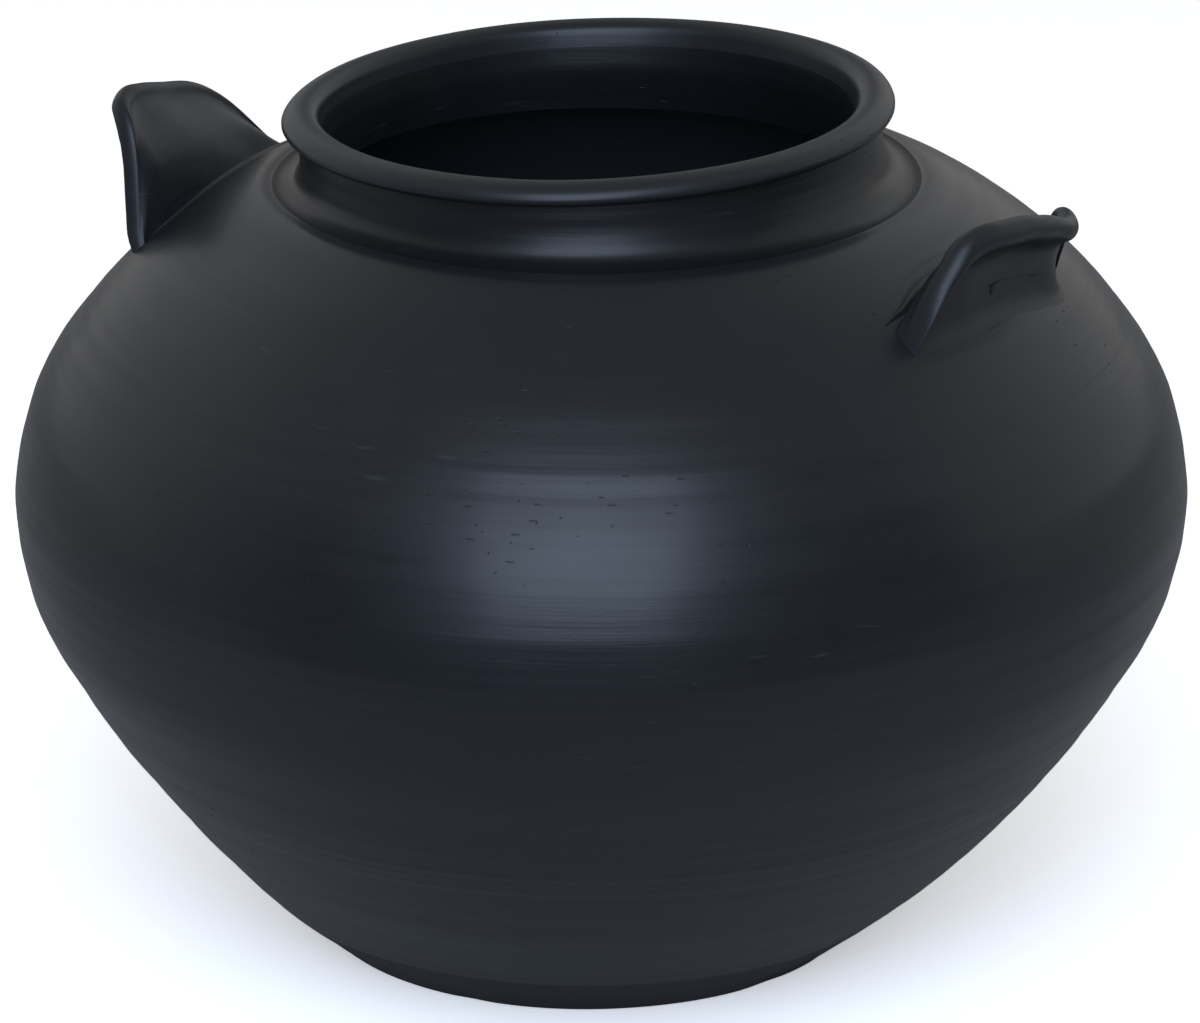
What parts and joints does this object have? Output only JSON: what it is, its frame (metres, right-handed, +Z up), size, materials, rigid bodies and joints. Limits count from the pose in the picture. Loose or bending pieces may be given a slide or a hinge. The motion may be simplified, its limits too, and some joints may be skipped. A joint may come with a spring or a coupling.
{
  "type": "two-lugged clay jar",
  "caption": "Wide round-bellied burnished black clay jar with a narrow flat base, short collar, rolled rim and flared ear lugs on its shoulder.",
  "frame": {"origin": "centre of the flat base that the jar stands on", "axes": "+Z up along the jar's turning axis, -Y the front, with one lug front right and the other back left"},
  "size_m": [0.35, 0.35, 0.2545],
  "materials": {
    "base_pat": "burnished satin black, smoke-fired unglazed earthenware",
    "lower_wall_course": "burnished satin black, smoke-fired unglazed earthenware",
    "lower_belly_course": "burnished satin black, smoke-fired unglazed earthenware",
    "upper_belly_course": "burnished satin black, smoke-fired unglazed earthenware",
    "shoulder_course": "burnished satin black, smoke-fired unglazed earthenware",
    "neck_collar": "burnished satin black, smoke-fired unglazed earthenware",
    "rim_coil": "burnished satin black, smoke-fired unglazed earthenware",
    "right_lug": "burnished satin black, smoke-fired unglazed earthenware",
    "right_lug_outer_luting": "burnished satin black, smoke-fired unglazed earthenware",
    "right_lug_inner_luting": "burnished satin black, smoke-fired unglazed earthenware",
    "left_lug": "burnished satin black, smoke-fired unglazed earthenware",
    "left_lug_outer_luting": "burnished satin black, smoke-fired unglazed earthenware",
    "left_lug_inner_luting": "burnished satin black, smoke-fired unglazed earthenware"
  },
  "bodies": {
    "root": {"base_pat": "base_pat", "lower_wall_course": "lower_wall_course", "lower_belly_course": "lower_belly_course", "upper_belly_course": "upper_belly_course", "shoulder_course": "shoulder_course", "neck_collar": "neck_collar", "rim_coil": "rim_coil", "right_lug": "right_lug", "right_lug_outer_luting": "right_lug_outer_luting", "right_lug_inner_luting": "right_lug_inner_luting", "left_lug": "left_lug", "left_lug_outer_luting": "left_lug_outer_luting", "left_lug_inner_luting": "left_lug_inner_luting"}
  },
  "joints": []
}
